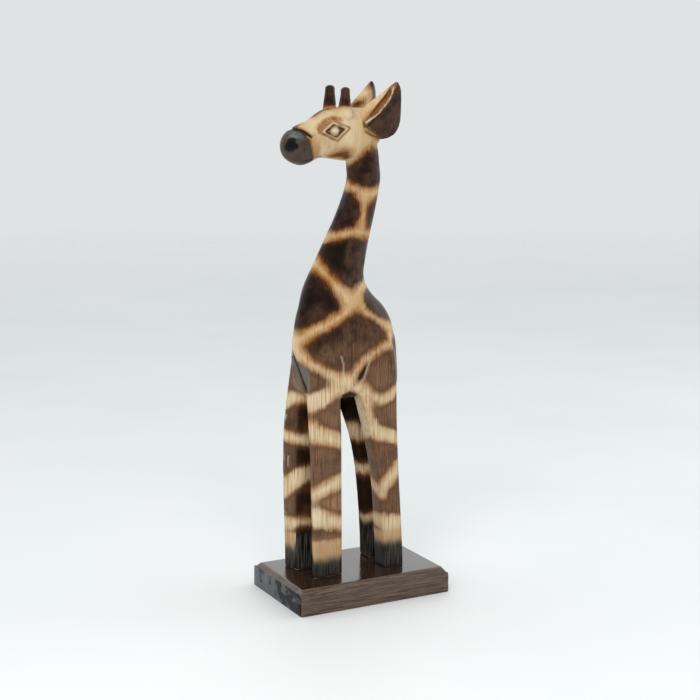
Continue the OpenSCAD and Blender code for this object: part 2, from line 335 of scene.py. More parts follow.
spots = places(giraffe) / mm
normals = outward(giraffe)
tree = treeOf(giraffe)
black = np.zeros(len(spots))       # black along the nostrils and mouth, and painted shade in the chest slot and behind the ear rims
toast = np.zeros(len(spots))       # light scorching
paleCutAndHighlight = np.zeros(len(spots))       # pale newly cut wood, and a painted highlight along the ear rims
grooveShade = np.zeros(len(spots))       # painted shade, a dark line in a groove
moved = spots.copy()


marks = {
    # what each cut leaves, painted shade and highlight among them: layer, strength, and where it starts and
    # ends its fade in half widths
    "nick": (paleCutAndHighlight, 0.6, 0.3, 0.9),
    "thighCrease": (paleCutAndHighlight, 0.55, 0, 0.8),
    "legCrease": (paleCutAndHighlight, 0.55, 0, 0.8),
    # on the ear rims the pale line is a painted highlight
    "earRim": (paleCutAndHighlight, 0.9, 0, 1.2),
    "pupil": (paleCutAndHighlight, 0.45, 0.7, 1),
    # black painted shade in the groove behind the ear rim and in the chest slot
    "earShadow": (black, 0.85, 0.3, 1.1),
    "chestSlot": (black, 0.9, 0.3, 0.9),
    "nostrilShade": (black, 0.8, 0.5, 1.1),
    "nostril": (black, 1, 0.3, 0.95),
    "mouth": (black, 1, 0.3, 0.95),
    # painted shade in the eye recesses, the ear hollows and the ear folds
    "earTrough": (grooveShade, 0.5, 0.139, 0.778),
    "lidInside": (grooveShade, 0.9, 0.4, 1),
    "lidOutside": (grooveShade, 0.4, 0.4, 1),
    "eyeball": (grooveShade, 0.5, 0.4, 1),
    "earFold": (grooveShade, 0.9, 0.4, 1),
    "earFoldTop": (grooveShade, 0.9, 0.4, 1),
}


def cutLine(name, line, half, depth):
    laid = sinkOnto(tree, [tuple(p) + (half,) for p in line], 1.5)
    near = nearLine(spots, laid, half * 1.6)
    gap = distanceTo(spots[near], laid)[0]
    moved[near] -= normals[near] * ((1 - step(gap, 0, half * 1.25)) * depth)[:, None]
    if name in marks:
        layer, strength, full, gone = marks[name]
        layer[near] = np.maximum(layer[near], strength * (1 - step(gap, half * full, half * gone)))
    if name == "pupil":
        # the raised pupil carries none of the painted groove shade
        grooveShade[near] *= step(gap, half * 0.75, half * 0.95)


for name, line, half, depth in headCuts:
    for side in (-1, 1):
        cutLine(name, [headSpot(x, y * side, z) for x, y, z in line], half, depth)
for line, half, strength in toasted:
    for side in (-1, 1):
        laid = sinkOnto(tree, [headSpot(x, y * side, z) + (half,) for x, y, z in line], 2)
        near = nearLine(spots, laid, half * 1.5)
        gap = distanceTo(spots[near], laid)[0]
        toast[near] = np.maximum(toast[near], strength * (1 - step(gap, half * 0.2, half * 1.3)))
for name, line, half, depth in bodyCuts:
    cutLine(name, line, half, depth)
    if name != "chestSlot":
        cutLine(name, mirrored(line), half, depth)
for line, half, depth in nicks:
    cutLine("nick", line, half, depth)
for line in (flankCorner, mirrored(flankCorner)):
    laid = sinkOnto(tree, [tuple(p) + (1,) for p in line], 4)
    near = nearLine(spots, laid, 15)
    gap = distanceTo(spots[near], laid)[0]
    height = spots[near, 2]
    tent = np.clip(1 - gap / carving["cornerReach"], 0, 1)
    tent = tent * step(height, 238, 262) * (1 - step(height, 395, 415))
    moved[near] += normals[near] * (tent * carving["cornerRise"])[:, None]
setPlaces(giraffe, moved * mm)
print("giraffe details cut")

# pattern: pale bands left unburnt, as lines with a half width at each point, in mm

paleBands = [
    [(-2, 3, 400, 3.2), (1, -7, 397, 4), (8, -11, 392.5, 5.8),
     (18, -11, 392, 6), (29, -4, 396, 5), (33, 3, 397, 5)],
    [(9, -12, 387, 4.5), (8, -12, 374, 3.5), (5, -13, 361, 4.5)],
    [(-25, 3, 352, 4), (-19, -7, 353, 4), (-11, -11, 355, 4),
     (-2, -13, 357, 5), (7, -12, 356, 6), (22, 3, 352, 5)],
    [(-37, 3, 327.5, 6), (-36, -8, 322, 5.5), (-29, -15, 312.5, 5),
     (-21.5, -19, 303, 5), (-15, -20, 295.5, 6.5)],
    [(-13, -20, 294, 8.5), (-7, -20, 293, 8.5), (2, -16, 302, 5), (13, 3, 308, 4)],
    [(-10, -21, 288, 7.5), (-20, -20, 279.5, 5.5), (-32, -19, 272, 5.5),
     (-43, -16, 267, 5.2), (-53, -10, 260.5, 6.2), (-59, 3, 252, 8)],
    [(-59, 3, 252, 8), (-58, -5, 243, 6.5), (-53, -14, 235, 5), (-47, -23, 231, 4.5), (-37, -24, 225, 4.5),
     (-24, -23, 216, 8), (-11, -23, 213, 6.5)],
    [(-3, -19, 292, 6), (4, -20, 281, 3.6), (18, -19, 273, 2.6), (31, -15, 264.5, 5), (44, 3, 257, 9)],
    [(35, -15, 255, 6), (33, -20, 248, 6), (21, -22, 244, 4.4), (12, -23, 239, 4.2), (2, -24, 233.5, 4.6),
     (-5, -24, 225.5, 4.4), (-11, -23, 216, 5)],
    [(-11, -23, 215, 6), (-13, -23, 210, 5), (0, -23, 207, 5)],
    [(-27, -24, 212, 5), (-34, -24, 206, 4), (-43, -24, 200, 4.5)],
    [(3, -22, 205, 5), (10, -24, 199, 4.5), (21, -24, 194, 4.5),
     (31, -24, 197, 5), (39, -22, 203, 5), (44, 3, 206, 4)],
    [(-17, 3, 200, 7), (-6, 3, 198, 6)],
]
nearSideOnly = [
    [(0, -24, 203, 5.5), (5, -24, 190, 5), (8.5, -24, 176, 2), (12, -24, 163, 3)],
    [(0, -13, 199, 9), (6, -13, 182, 9.5), (11, -13, 164, 8)],
]
# each leg's corners low down and high up: outer front, outer rear, inner rear, inner front
legCorners = {
    "nearFront": (
        [(-53, -24), (-20.5, -24), (-20.5, -2), (-44, -2)],
        [(-58, -24), (-21, -24), (-21, -2), (-48, -2)],
    ),
    "farFront": (
        [(-60, 30), (-32, 30), (-32, 8), (-56, 8)],
        [(-60, 30), (-26, 30), (-26, 8), (-50, 8)],
    ),
    "nearHind": (
        [(26, -24), (49, -24), (49, -4), (25, -4)],
        [(2, -24), (40, -24), (46, -4), (-1, -4)],
    ),
    "farHind": (
        [(26, 30), (49, 30), (49, 10), (25, 10)],
        [(2, 30), (40, 30), (46, 10), (-1, 10)],
    ),
}
# bands round each leg: height and half width at those four corners
legBands = {
    "nearFront": [
        [(197, 8.5), (208, 5), (200, 5), (196, 6)],
        [(170, 11), (156, 6), (160, 6), (168, 7)],
        [(107, 7), (119, 7.5), (112, 6), (105, 6)],
        [(86, 10), (75, 7.5), (78, 6), (84, 7)],
    ],
    "farFront": [
        [(192, 7.5), (200, 6), (196, 6), (197, 5)],
        [(158, 5.5), (152, 5.5), (150, 4.5), (155, 4.5)],
        [(102, 9), (112, 6), (124, 6), (119, 7.5)],
        [(66, 8.5), (72, 6), (70, 3), (73, 4)],
    ],
    "nearHind": [
        [(165.5, 7.5), (153, 6.2), (155, 6), (160, 6)],
        [(100, 6.5), (125, 7.2), (118, 6), (108, 6)],
        [(70, 9), (66, 8.5), (68, 6), (72, 6)],
    ],
    "farHind": [
        [(154, 9), (148, 6), (150, 6), (156, 8)],
        [(115, 5.5), (122, 6), (118, 6), (117, 5)],
        [(61, 6), (64, 6), (68, 5), (63, 5)],
    ],
}
darkSpots = [
    # along the head: forehead, nose, jaw on both sides, mark inside the far ear
    [(-52, 3, 467, 4), (-42, 3, 474, 4.5), (-38, 0, 473, 3)],
    [(-84, 0, 453, 4), (-77, 1, 456.5, 3.6), (-72, 1, 458.5, 2.4)],
    [(-38, -9, 429, 2.2), (-32, -12, 430.5, 4.0), (-25, -12.5, 430, 4.4), (-22, -10, 428, 4)],
    [(-38, 14, 427, 2.5), (-31, 15, 428, 4.4), (-24, 15, 429, 3.4)],
    [(4, 9.5, 475.5, 2.0), (10, 9.6, 477.5, 3.4), (17, 9.8, 478.4, 1.2)],
]


def farSide(line):
    # the other flank carries the same hand's work, not a copy: points away from the middle wander
    middle = carving["middleY"]
    out = []
    for x, y, z, w in line:
        away = min(1, abs(y - middle) / 18)
        wander = 9 * math.sin(x * 0.11 + z * 0.035) * away
        slide = 5 * math.sin(z * 0.06 + 1.3) * away
        out.append((x + slide, 2 * middle - y, z + wander, w * (1 + 0.15 * away)))
    return out


def legRing(corners, band):
    low, high = corners
    loop = []
    for (xLow, yLow), (xHigh, yHigh), (z, w) in zip(low, high, band):
        t = (z - 24) / 176
        loop.append((xLow + (xHigh - xLow) * t, yLow + (yHigh - yLow) * t, z, w))
    return loop + [loop[0]]


spots = places(giraffe) / mm
normals = outward(giraffe)
tree = treeOf(giraffe)
deepBurn = carving["deepBurn"]
bandSoftness = carving["bandSoftness"]
paleness = np.full(len(spots), math.exp(-deepBurn / bandSoftness))


def keepPale(line):
    laid = sinkOnto(tree, line, 5)
    near = nearLine(spots, laid, deepBurn + laid[:, 3].max())
    gap, width = distanceTo(spots[near], laid)
    # neighbouring bands run together in round corners, as a torch leaves them
    paleness[near] += np.exp((width - 0.8 - gap) / bandSoftness)


for line in paleBands:
    keepPale(line)
    keepPale(farSide(line))
for line in nearSideOnly:
    keepPale(line)
for leg, bands in legBands.items():
    for band in bands:
        keepPale(legRing(legCorners[leg], band))
burn = -bandSoftness * np.log(paleness)

alongX, acrossY, upZ = alongHead(spots)
# the neck's dark patch stops at this line of x and height, under the jaw and behind the ears
napeEdge = [
    (-10, 413), (-0.7, 422), (3.4, 427.5), (7.5, 431.5), (12.2, 434.5), (16.8, 436.5), (25.8, 438), (34, 439),
]
napeLine = (np.interp(spots[:, 0], *zip(*napeEdge)) - upZ) * 0.8
burn = np.minimum(burn, np.clip(napeLine, -deepBurn, deepBurn))

greySheen = np.zeros(len(spots))
blackShade = np.zeros(len(spots))
# painted grey reflection on the chest facets beside the slot
greyFacets = [
    [(-59, 7, 237, 1.2), (-58, 0, 227, 1.6), (-57, -4, 217, 1.0)],
    [(-58, -6, 232, 1.5), (-56, -11, 226, 4.2), (-54, -15, 217, 4.6), (-54, -18, 210, 3.2)],
]
# black painted shade under the belly, in the gap between the legs and along the near thigh crease
blackPlaces = [
    [(-18, -20, 201.5, 2.5), (-12, -22, 201.5, 4), (-6, -20, 200, 3)],
    [(-19, 3, 198, 9), (0, 3, 198, 9)],
    [(-19, -12, 198, 9), (-6, -12, 198, 7)],
    [(-17, -19.5, 198, 4), (-12, -19.5, 198, 3.5)],
    [(3.8, -24, 227.5, 1.4), (0.2, -24, 221.5, 2.6), (-2.5, -24, 217, 2)],
    [(1, 20, 186, 12), (-2, 20, 198, 12)],
]
for lines, amount, soft in ((greyFacets, greySheen, 1.5), (blackPlaces, blackShade, 1.25)):
    for line in lines:
        laid = sinkOnto(tree, line, 2)
        near = nearLine(spots, laid, 20)
        gap, width = distanceTo(spots[near], laid)
        amount[near] = np.maximum(amount[near], 1 - step(gap, width * 0.5, width * soft))

onHead = upZ > 400
muzzle = -70 + 0.45 * (442 - upZ) - alongX
burn = np.maximum(burn, np.where(onHead, muzzle, -deepBurn))
onHorn = (alongX > -34) & (alongX < -15) & (np.abs(acrossY) < 19)
horn = np.where(onHorn, (upZ - 474.5) * 1.6, -deepBurn)
burn = np.maximum(burn, np.clip(horn, -deepBurn, deepBurn))
# dark corner of the thigh, beside its crease
bodySpots = [
    [(4.5, -24, 229, 2.0), (-0.2, -24, 221.5, 4.0), (-3.5, -24, 216, 3.4)],
]
for line in [[headSpot(*p[:3]) + (p[3],) for p in line] for line in darkSpots] + bodySpots:
    laid = sinkOnto(tree, line, 3)
    near = nearLine(spots, laid, 12)
    gap, width = distanceTo(spots[near], laid)
    burn[near] = np.maximum(burn[near], width - gap)
side = np.where(acrossY > 0, 1, -1)
facingOut = (-normals[:, 0] * math.sin(turn) + normals[:, 1] * math.cos(turn)) * side
rimHeight = np.interp(alongX, [p[0] for p in earRim] + [34, 36], [p[2] for p in earRim] + [497, 503])
earBack = np.minimum.reduce([
    (rimHeight - upZ) * 0.8 + 0.9,
    (upZ - 455.8 + 0.62 * (alongX + 5)) * 0.85 + 0.3,
    alongX + 9,
    (np.abs(acrossY) - 11) * 1.5,
    (facingOut + 0.1) * 20,
])
earTip = np.minimum.reduce([alongX - 30.5 + (upZ - 484) * 0.12, upZ - 480, (0.5 - facingOut) * 20])
isEar = (upZ > 440) & (alongX > -8)
burn = np.where(isEar, np.maximum(burn, np.clip(np.maximum(earBack, earTip), -deepBurn, deepBurn)), burn)
print("giraffe pattern laid out")

# painted shade, toasted ankles, soot and the muzzle's marks, by place
farLegs = spots[:, 1] > carving["middleY"]
hind = spots[:, 0] > -5
# painted shade: inner faces of the legs and the front of the far hind leg, between the feet and the belly
inward = np.where(farLegs, -normals[:, 1], normals[:, 1])
hindFront = np.where(hind & farLegs, -normals[:, 0], 0)
legShade = np.maximum(step(inward, 0.2, 0.7), step(hindFront, 0.5, 0.9))
legShade = legShade * (1 - step(spots[:, 2], 199, 214)) * step(spots[:, 2], 24, 30)
ankle = (1 - step(spots[:, 2], 52, 70)) * (1 - legShade)
burn = np.where((spots[:, 2] < 90) & (legShade < 0.5), np.minimum(burn, (spots[:, 2] - 60) * 1.2), burn)
# painted shade on the facets of the neck and chest that face the front
frontFacetShade = step(-normals[:, 0], -0.05, 0.5)
frontFacetShade = frontFacetShade * step(spots[:, 2], 225, 262) * (1 - step(spots[:, 2], 395, 425))
# the torch left a lighter patch low on the near front leg
halfTone = step(spots[:, 2], 84, 92) * (1 - step(spots[:, 2], 112, 124)) * (spots[:, 0] < -15) * (~farLegs)
# the soot starts higher on the hind and far legs, and higher still on the faces in painted shade
sootLift = np.where(hind, 8, np.where(farLegs, 4, 0)) + 14 * legShade
headPlaces = np.stack([alongX, acrossY, upZ], 1)
# the muzzle's black blotch, and a painted reflection on its top
blotchGap = np.linalg.norm(headPlaces - np.array([-87.5, -7.5, 440]), axis=1)
sheenGap = np.linalg.norm(headPlaces - np.array([-82, -8, 449.5]), axis=1)
layers = {
    "burn": burn,
    "greySheen": greySheen,
    "blackShade": blackShade,
    "freshCutAndHighlight": paleCutAndHighlight,
    "grooveShadeLine": grooveShade,
    "toast": toast,
    "blackLine": black,
    "ankle": ankle,
    "halfTone": halfTone * (1 - legShade),
    "frontFacetShade": frontFacetShade,
    "legShade": legShade,
    "sootAndShade": 1 - step(spots[:, 2] - sootLift, 32, 56),
    "muzzle": step(muzzle, 0, 5) * onHead,
    "muzzleBlack": (1 - step(blotchGap, 3, 11)) * onHead,
    "muzzleSheen": (1 - step(sheenGap, 2, 10)) * onHead,
}
for name, values in layers.items():
    paint(giraffe, name, values)


# shader effects used by more than one finish

def newGroup(name, inputs, outputs):
    group = bpy.data.node_groups.new(name, "ShaderNodeTree")
    for label, value in inputs:
        socket = group.interface.new_socket(label, in_out="INPUT", socket_type="NodeSocketFloat")
        socket.default_value = value
    for label in outputs:
        group.interface.new_socket(label, in_out="OUTPUT", socket_type="NodeSocketFloat")
    return group, group.nodes.new("NodeGroupInput"), group.nodes.new("NodeGroupOutput")


def noiseNode(tree, coords, scale, detail=4, roughness=0.55, stretch=(1, 1, 1), shift=(0, 0, 0)):
    mapping = tree.nodes.new("ShaderNodeMapping")
    mapping.inputs["Scale"].default_value = stretch
    mapping.inputs["Location"].default_value = shift
    noise = tree.nodes.new("ShaderNodeTexNoise")
    noise.inputs["Scale"].default_value = scale
    noise.inputs["Detail"].default_value = detail
    noise.inputs["Roughness"].default_value = roughness
    tree.links.new(coords, mapping.inputs["Vector"])
    tree.links.new(mapping.outputs["Vector"], noise.inputs["Vector"])
    return noise.outputs["Fac"]


def span(tree, value, low, high, outLow=0, outHigh=1):
    node = tree.nodes.new("ShaderNodeMapRange")
    node.interpolation_type = "SMOOTHSTEP"
    node.inputs["From Min"].default_value = low
    node.inputs["From Max"].default_value = high
    node.inputs["To Min"].default_value = outLow
    node.inputs["To Max"].default_value = outHigh
    tree.links.new(value, node.inputs["Value"])
    return node.outputs["Result"]


def sums(tree, operation, a, b):
    node = tree.nodes.new("ShaderNodeMath")
    node.operation = operation
    for socket, value in zip(node.inputs, (a, b)):
        if isinstance(value, (int, float)):
            socket.default_value = value
        else:
            tree.links.new(value, socket)
    return node.outputs["Value"]


def times(tree, a, b):
    return sums(tree, "MULTIPLY", a, b)


def mixColour(tree, factor, a, b):
    node = tree.nodes.new("ShaderNodeMix")
    node.data_type = "RGBA"
    if isinstance(factor, (int, float)):
        node.inputs["Factor"].default_value = factor
    else:
        tree.links.new(factor, node.inputs["Factor"])
    for label, value in (("A", a), ("B", b)):
        socket = [s for s in node.inputs if s.name == label and s.type == "RGBA"][0]
        if isinstance(value, tuple):
            socket.default_value = value
        else:
            tree.links.new(value, socket)
    return [s for s in node.outputs if s.type == "RGBA"][0]


def shade(r, g, b):
    # a paint-chart colour, 0 to 255, as the shader wants it
    return tuple(((c / 255 + 0.055) / 1.055) ** 2.4 if c > 10 else c / 255 / 12.92 for c in (r, g, b)) + (1,)


def objectCoords(tree):
    return tree.nodes.new("ShaderNodeTexCoord").outputs["Object"]


def buildGrainGroup():
    # wood pores and fibres that run up the object, or along it when the group's Lie is 1
    group, given, result = newGroup(
        "woodGrain",
        [("Lie", 0.0), ("Pore Amount", 0.5)],
        ["Pores", "Fibre", "Cloud"],
    )
    coords = objectCoords(group)
    values = {}
    for label, stretch, cloudStretch in (
        ("stand", (1, 1, 0.03), (1, 1, 0.12)),
        ("lie", (0.03, 1, 1), (0.12, 1, 1)),
    ):
        pores = noiseNode(group, coords, 880, 1, 0.4, stretch)
        fibre = noiseNode(group, coords, 1500, 3, 0.6, (stretch[0] * 0.6, 1, stretch[2] * 0.6))
        cloud = noiseNode(group, coords, 60, 3, 0.5, cloudStretch)
        values[label] = (pores, fibre, cloud)
    for index, name in enumerate(("Pores", "Fibre", "Cloud")):
        mix = group.nodes.new("ShaderNodeMix")
        group.links.new(given.outputs["Lie"], mix.inputs["Factor"])
        group.links.new(values["stand"][index], mix.inputs["A"])
        group.links.new(values["lie"][index], mix.inputs["B"])
        out = mix.outputs["Result"]
        if name == "Pores":
            edge = sums(group, "SUBTRACT", 0.68, times(group, given.outputs["Pore Amount"], 0.24))
            over = sums(group, "SUBTRACT", out, edge)
            out = span(group, over, 0, 0.12)
        group.links.new(out, result.inputs[name])
    return group


def buildWearGroup():
    # fine dust and hand wear that breaks an even gloss
    group, given, result = newGroup("handWear", [("Amount", 0.5)], ["Dull", "Speck"])
    coords = objectCoords(group)
    broad = span(group, noiseNode(group, coords, 38, 5, 0.6), 0.42, 0.68)
    group.links.new(times(group, broad, given.outputs["Amount"]), result.inputs["Dull"])
    specks = span(group, noiseNode(group, coords, 900, 2, 0.5), 0.7, 0.76)
    group.links.new(times(group, specks, given.outputs["Amount"]), result.inputs["Speck"])
    return group


grainGroup = buildGrainGroup()
wearGroup = buildWearGroup()


def placeGroup(tree, group, **values):
    node = tree.nodes.new("ShaderNodeGroup")
    node.node_tree = group
    for key, value in values.items():
        node.inputs[key.replace("_", " ")].default_value = value
    return node


def newFinish(name, **fixed):
    finish = bpy.data.materials.new(name)
    finish.use_nodes = True
    tree = finish.node_tree
    shader = tree.nodes["Principled BSDF"]
    for key, value in fixed.items():
        shader.inputs[key.replace("_", " ")].default_value = value
    return finish, tree, shader


def splitHeight(tree, coords, axis="Z"):
    node = tree.nodes.new("ShaderNodeSeparateXYZ")
    tree.links.new(coords, node.inputs["Vector"])
    return node.outputs[axis]


def attributeOf(tree, name):
    node = tree.nodes.new("ShaderNodeAttribute")
    node.attribute_name = name
    return node.outputs["Fac"]


def bump(tree, shader, height, strength, distance):
    node = tree.nodes.new("ShaderNodeBump")
    node.inputs["Strength"].default_value = strength
    node.inputs["Distance"].default_value = distance
    tree.links.new(height, node.inputs["Height"])
    tree.links.new(node.outputs["Normal"], shader.inputs["Normal"])


burntWood = {
    "paleWood": shade(218, 196, 160),
    "warmWood": shade(200, 172, 128),
    "ringPale": shade(232, 216, 186),
    "streak": shade(178, 136, 90),
    "golden": shade(186, 138, 78),
    "scorch": shade(146, 90, 38),
    "burntEdge": shade(46, 24, 13),
    "legRim": shade(104, 68, 44),
    "legScorch": shade(156, 104, 60),
    "burntRim": shade(72, 40, 20),
    "burntMiddle": shade(80, 56, 42),
    "burntLeg": shade(128, 95, 70),
    # near-black, for char in the mottling and for painted shade on the inner leg faces and front facets
    "charAndShade": shade(12, 9, 8),
    # black, for the soot on the feet and the muzzle blotch, and for painted shade in grooves and under the
    # belly
    "sootAndShade": shade(12, 11, 11),
    "sootGrey": shade(80, 75, 70),
    "toasted": shade(176, 134, 92),
    "halfToned": shade(160, 122, 88),
    # painted grey reflection
    "sheenGrey": shade(98, 106, 106),
    # grey of the muzzle, partly a painted reflection
    "muzzleGrey": shade(74, 66, 58),
    # painted bluish reflection on the muzzle top
    "muzzleBlue": shade(104, 116, 116),
    # painted shade in the grooves
    "grooveDark": shade(76, 38, 18),
    # pale cut wood, also the painted highlight on the ear rims
    "freshWoodAndHighlight": shade(222, 206, 174),
    "poreBrown": shade(146, 106, 66),
}


woodSurface = {
    "poreAmount": 0.55,
    "wearAmount": 0.6,
    "edgeWander": 6.0,          # mm that the burnt edges wander
    "poreCreep": 1.1,           # mm that the burn creeps along the pores
    "fibreCreep": 3.4,          # and along the fibres
    "edgeShift": 1.0,
    "legLine": (0.205, 0.29),   # m, heights between which the leg colours give way to the body's
    "varnishRough": (0.36, 0.52),
    "varnishCoat": (0.3, 0.08),
    "glint": 0.12,
    "grainBump": 0.3,
    "grainDepth": 0.0004,       # m
}


def burntWoodFinish():
    colours, surface = burntWood, woodSurface
    finish, tree, shader = newFinish("burnt_varnished_wood", Coat_Roughness=0.16, Coat_IOR=1.3, IOR=1.4)
    coords = objectCoords(tree)
    grain = placeGroup(tree, grainGroup, Lie=0.0, Pore_Amount=surface["poreAmount"])
    wear = placeGroup(tree, wearGroup, Amount=surface["wearAmount"])
    pores, fibre = grain.outputs["Pores"], grain.outputs["Fibre"]

    def layer(name):
        return attributeOf(tree, name)

    def patches(scale, detail, roughness, limits, stretch=(1, 1, 1)):
        return span(tree, noiseNode(tree, coords, scale, detail, roughness, stretch), *limits)

    def offMiddle(value, middle, size):
        return times(tree, sums(tree, "SUBTRACT", value, middle), size)

    def cover(under, over, *shares):
        # lays one colour over another; several shares are multiplied together
        share = shares[0]
        for other in shares[1:]:
            share = times(tree, share, other)
        return mixColour(tree, share, under, over)

    # mm inside a burnt patch, or outside it when below 0
    edge = layer("burn")
    for value, middle, size in (
        (noiseNode(tree, coords, 110, 4, 0.55), 0.5, surface["edgeWander"]),
        (pores, 0.1, surface["poreCreep"]),
        (fibre, 0.5, surface["fibreCreep"]),
    ):
        edge = sums(tree, "ADD", edge, offMiddle(value, middle, size))
    edge = sums(tree, "SUBTRACT", edge, surface["edgeShift"])
    lowDown = span(tree, splitHeight(tree, coords), *surface["legLine"], 1, 0)

    # pale wood, with brown streaks and pores, warmed towards the burnt edges
    pale = cover(colours["paleWood"], colours["warmWood"], span(tree, grain.outputs["Cloud"], 0.3, 0.7))
    pale = cover(pale, colours["ringPale"], lowDown, 0.5)
    streaks = patches(420, 3, 0.6, (0.46, 0.66), (1, 1, 0.035))
    pale = cover(pale, colours["streak"], streaks, span(tree, lowDown, 0, 1, 0.2, 0.5))
    pale = cover(pale, colours["poreBrown"], pores, span(tree, lowDown, 0, 1, 0.14, 0.6))
    uneven = patches(24, 3, 0.5, (0.38, 0.62, 0.4, 1))
    glow = times(tree, span(tree, edge, -13, -1), span(tree, lowDown, 0, 1, 0.62, 0.2))
    pale = cover(pale, colours["golden"], glow, uneven)
    scorch = mixColour(tree, lowDown, colours["scorch"], colours["legScorch"])
    calmer = sums(tree, "SUBTRACT", uneven, times(tree, lowDown, 0.3))
    pale = cover(pale, scorch, span(tree, edge, -7.5, 0.2), calmer)

    # burnt wood, deepest in the middle of a patch, with near-black painted shade on the inner sides of the
    # legs and on the front facets
    dark = mixColour(tree, lowDown, colours["burntMiddle"], colours["burntLeg"])
    depth = sums(tree, "SUBTRACT", 0.9, times(tree, lowDown, 0.5))
    dark = cover(dark, colours["charAndShade"], patches(60, 5, 0.65, (0.38, 0.68)), depth)
    dark = cover(dark, colours["burntEdge"], span(tree, fibre, 0.36, 0.6, 0.35, 0))
    front = times(tree, layer("frontFacetShade"), patches(45, 3, 0.5, (0.34, 0.56, 0.3, 0.95)))
    dark = cover(dark, colours["charAndShade"], sums(tree, "MAXIMUM", layer("legShade"), front), 0.88)
    dark = cover(dark, colours["halfToned"], layer("halfTone"), 0.8)
    dark = cover(dark, colours["burntEdge"], pores, 0.5)
    rim = mixColour(tree, lowDown, colours["burntRim"], colours["legRim"])
    dark = cover(dark, rim, span(tree, edge, 0.5, 6.5, 0.85, 0))
    colour = cover(pale, dark, span(tree, edge, -2.8, 2.6))

    # painted grey reflection on the chest facets, and black painted shade under the belly, between the legs
    # and along the thigh crease
    sheenBreak = patches(210, 4, 0.65, (0.36, 0.6, 0.35, 0.95), (1, 1, 0.4))
    colour = cover(colour, colours["sheenGrey"], layer("greySheen"), sheenBreak)
    colour = cover(colour, colours["sootAndShade"], layer("blackShade"), 0.93)

    # the muzzle: patchy grey that is partly a painted reflection, a painted bluish reflection above, a ragged
    # black blotch in front
    greys = patches(190, 4, 0.6, (0.35, 0.65, 0.5, 0.95))
    colour = cover(colour, colours["muzzleGrey"], layer("muzzle"), greys)
    sheen = times(tree, layer("muzzleSheen"), patches(260, 4, 0.65, (0.4, 0.6, 0.25, 1)))
    colour = cover(colour, colours["muzzleBlue"], sheen)
    ragged = sums(tree, "ADD", layer("muzzleBlack"), patches(170, 4, 0.65, (0.3, 0.7, -0.35, 0.25)))
    colour = cover(colour, colours["sootAndShade"], span(tree, ragged, 0.25, 0.75, 0, 0.94))

    # toasted ankles, and soot that climbs the feet along the fibres, higher on the leg faces in painted shade
    colour = cover(colour, colours["toasted"], layer("ankle"), span(tree, fibre, 0.3, 0.7, 0.7, 1), 0.85)
    climb = offMiddle(noiseNode(tree, coords, 90, 3, 0.5, (1, 1, 0.3)), 0.5, 0.5)
    sootShare = span(tree, sums(tree, "ADD", layer("sootAndShade"), climb), 0.3, 0.95)
    sootColour = mixColour(tree, span(tree, fibre, 0.4, 0.62), colours["sootAndShade"], colours["sootGrey"])
    colour = cover(colour, sootColour, sootShare)

    # hand shading, the marks left by tools, and painted shade and highlight along the grooves and ear rims
    colour = cover(colour, colours["scorch"], layer("toast"), patches(160, 4, 0.6, (0.3, 0.62, 0.35, 1)))
    for name, tone in (("grooveShadeLine", "grooveDark"), ("blackLine", "sootAndShade"), ("freshCutAndHighlight", "freshWoodAndHighlight")):
        colour = cover(colour, colours[tone], layer(name))
    tree.links.new(colour, shader.inputs["Base Color"])

    # worn varnish, with no coat or glint on the inner leg faces that carry the painted shade
    dull = wear.outputs["Dull"]
    tree.links.new(span(tree, dull, 0, 0.6, *surface["varnishRough"]), shader.inputs["Roughness"])
    exposed = sums(tree, "SUBTRACT", 1, layer("legShade"))
    coat = times(tree, span(tree, dull, 0, 0.6, *surface["varnishCoat"]), exposed)
    tree.links.new(coat, shader.inputs["Coat Weight"])
    tree.links.new(times(tree, exposed, surface["glint"]), shader.inputs["Specular IOR Level"])
    height = sums(tree, "ADD", times(tree, fibre, 0.5), times(tree, pores, -0.5))
    bump(tree, shader, height, surface["grainBump"], surface["grainDepth"])
    return finish


giraffe.data.materials.append(burntWoodFinish())
makeActive(giraffe)
bpy.ops.object.shade_smooth()
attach(giraffe, "root")
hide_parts("giraffe_carving")
print("giraffe finished")


# the plinth: a planed board with worn bevels

plinth = {
    "halfSize": (81.5, 56.0),   # mm
    "cutSpacing": 4.0,          # mm between the cuts that let the edges wear unevenly
    "cutLimits": (78, 52),      # mm each way along and across
    "arris": 0.9,               # mm, width of the rounded edges
    "wearDepth": 0.55,          # mm, deepest wear along an edge
    "chipDepth": 0.7,
    "chips": [(-80.2, -54.6, 3, 3.2), (-79.5, -52, 17, 3.0), (-60, -56, 16.5, 2.4), (-38, -56, 16.5, 2.0)],
}


def bisectAlong(piece, axis, low, high, spacing):
    normal = [0, 0, 0]
    normal[axis] = 1
    makeActive(piece)
    bpy.ops.object.mode_set(mode="EDIT")
    for place in np.arange(low, high, spacing):
        point = [0, 0, 0]
        point[axis] = place * mm
        bpy.ops.mesh.select_all(action="SELECT")
        bpy.ops.mesh.bisect(plane_co=point, plane_no=normal)
    bpy.ops.object.mode_set(mode="OBJECT")


board = copyOfNode("plinth", "plinth_board")
makeActive(board)
bpy.ops.object.mode_set(mode="EDIT")
bpy.ops.mesh.select_all(action="SELECT")
bpy.ops.mesh.dissolve_limited(angle_limit=0.01)
bpy.ops.object.mode_set(mode="OBJECT")
applyModifier(board, "BEVEL", width=plinth["arris"] * mm, segments=3, limit_method="ANGLE", angle_limit=0.35)
for axis, limit in enumerate(plinth["cutLimits"]):
    bisectAlong(board, axis, -limit, limit + 1, plinth["cutSpacing"])
spots = places(board) / mm
normals = outward(board)
